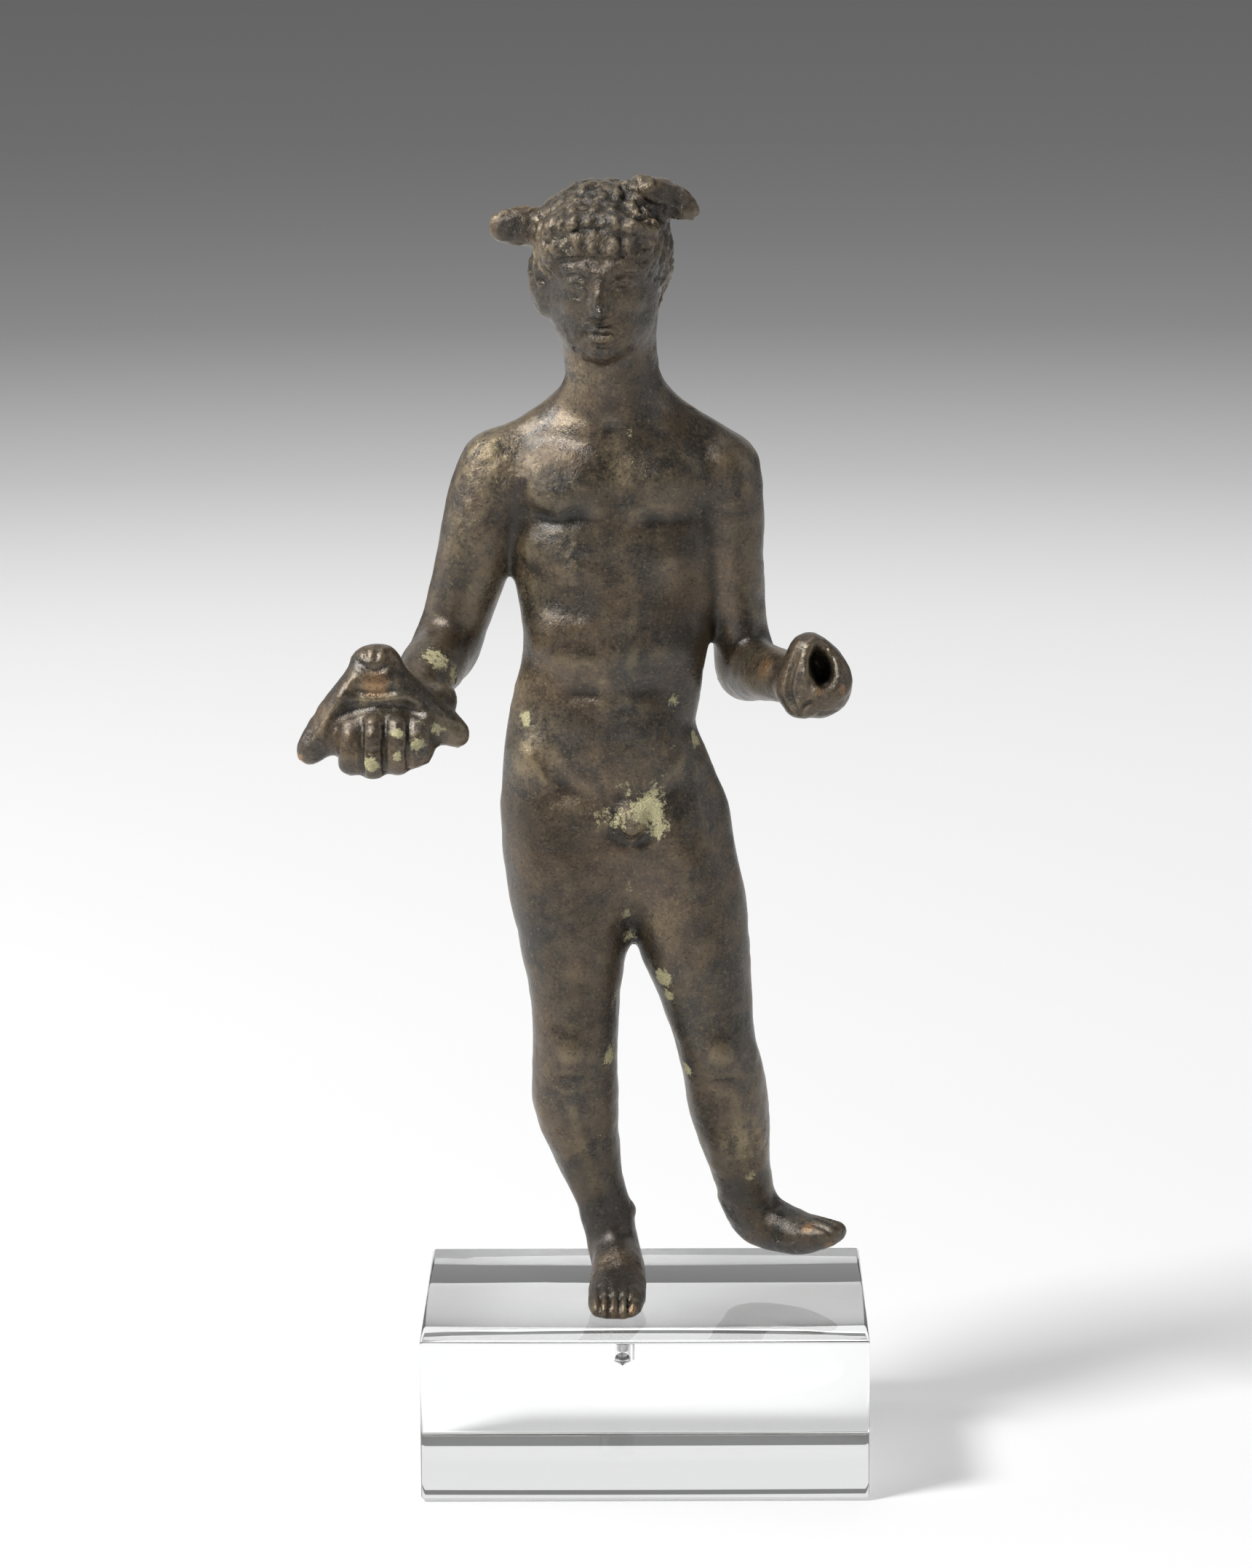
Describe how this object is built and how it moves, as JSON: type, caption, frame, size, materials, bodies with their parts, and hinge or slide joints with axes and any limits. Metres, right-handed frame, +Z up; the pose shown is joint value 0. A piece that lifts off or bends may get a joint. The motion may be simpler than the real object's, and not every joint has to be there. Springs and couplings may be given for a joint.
{
  "type": "bronze statuette",
  "caption": "Small cast bronze standing nude Mercury with winged head, purse in the right hand and an open grip in the left, pinned to a clear block.",
  "frame": {"origin": "centre of the display block's underside", "axes": "+Z up, +X to the viewer's right when facing the figure, -Y the way the figure faces"},
  "size_m": [0.0476, 0.0315, 0.1107],
  "materials": {
    "bronze": "worn dark brown patina with golden rubbed areas and pale green crust",
    "steel": "plain drawn wire",
    "clear_acrylic": "polished clear"
  },
  "bodies": {
    "root": {"mercury_figure": "bronze", "mounting_pin": "steel", "display_block": "clear_acrylic"}
  },
  "joints": []
}
